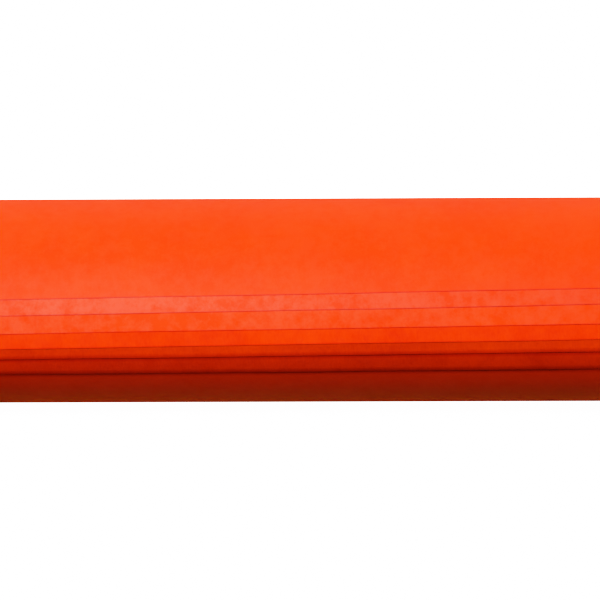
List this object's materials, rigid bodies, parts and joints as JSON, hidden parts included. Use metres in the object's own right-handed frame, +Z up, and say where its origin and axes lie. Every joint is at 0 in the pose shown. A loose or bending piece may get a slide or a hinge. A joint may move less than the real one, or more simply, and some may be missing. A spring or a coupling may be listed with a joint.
{
  "type": "paper roll",
  "caption": "Hollow roll of thin orange paper sheets wound together with stepped free edges, held by elastic bands.",
  "frame": {"origin": "under the middle of the roll, on the surface that its two bands rest on", "axes": "+X along the roll's axis, +Z up, and the stepped free edges are on the -Y side"},
  "size_m": [0.5098, 0.046, 0.0453],
  "materials": {
    "orange_paper": "matte",
    "elastic_band": "satin"
  },
  "bodies": {
    "outer_sheet": {"sheet_1": "orange_paper"},
    "second_sheet": {"sheet_2": "orange_paper"},
    "third_sheet": {"sheet_3": "orange_paper"},
    "fourth_sheet": {"sheet_4": "orange_paper"},
    "fifth_sheet": {"sheet_5": "orange_paper"},
    "inner_sheet": {"sheet_6": "orange_paper"},
    "left_band": {"band_left": "elastic_band"},
    "right_band": {"band_right": "elastic_band"}
  },
  "joints": [
    {"name": "sheet_2_slide", "type": "slide", "parent": "outer_sheet", "child": "second_sheet", "axis": [1, 0, 0], "range_m": [-0.515, 0.515]},
    {"name": "sheet_3_slide", "type": "slide", "parent": "outer_sheet", "child": "third_sheet", "axis": [1, 0, 0], "range_m": [-0.515, 0.515]},
    {"name": "sheet_4_slide", "type": "slide", "parent": "outer_sheet", "child": "fourth_sheet", "axis": [1, 0, 0], "range_m": [-0.515, 0.515]},
    {"name": "sheet_5_slide", "type": "slide", "parent": "outer_sheet", "child": "fifth_sheet", "axis": [1, 0, 0], "range_m": [-0.515, 0.515]},
    {"name": "sheet_6_slide", "type": "slide", "parent": "outer_sheet", "child": "inner_sheet", "axis": [1, 0, 0], "range_m": [-0.515, 0.515]},
    {"name": "band_left_slide", "type": "slide", "parent": "outer_sheet", "child": "left_band", "axis": [-1, 0, 0], "range_m": [-0.205, 0.05]},
    {"name": "band_right_slide", "type": "slide", "parent": "outer_sheet", "child": "right_band", "axis": [1, 0, 0], "range_m": [-0.205, 0.05]}
  ]
}
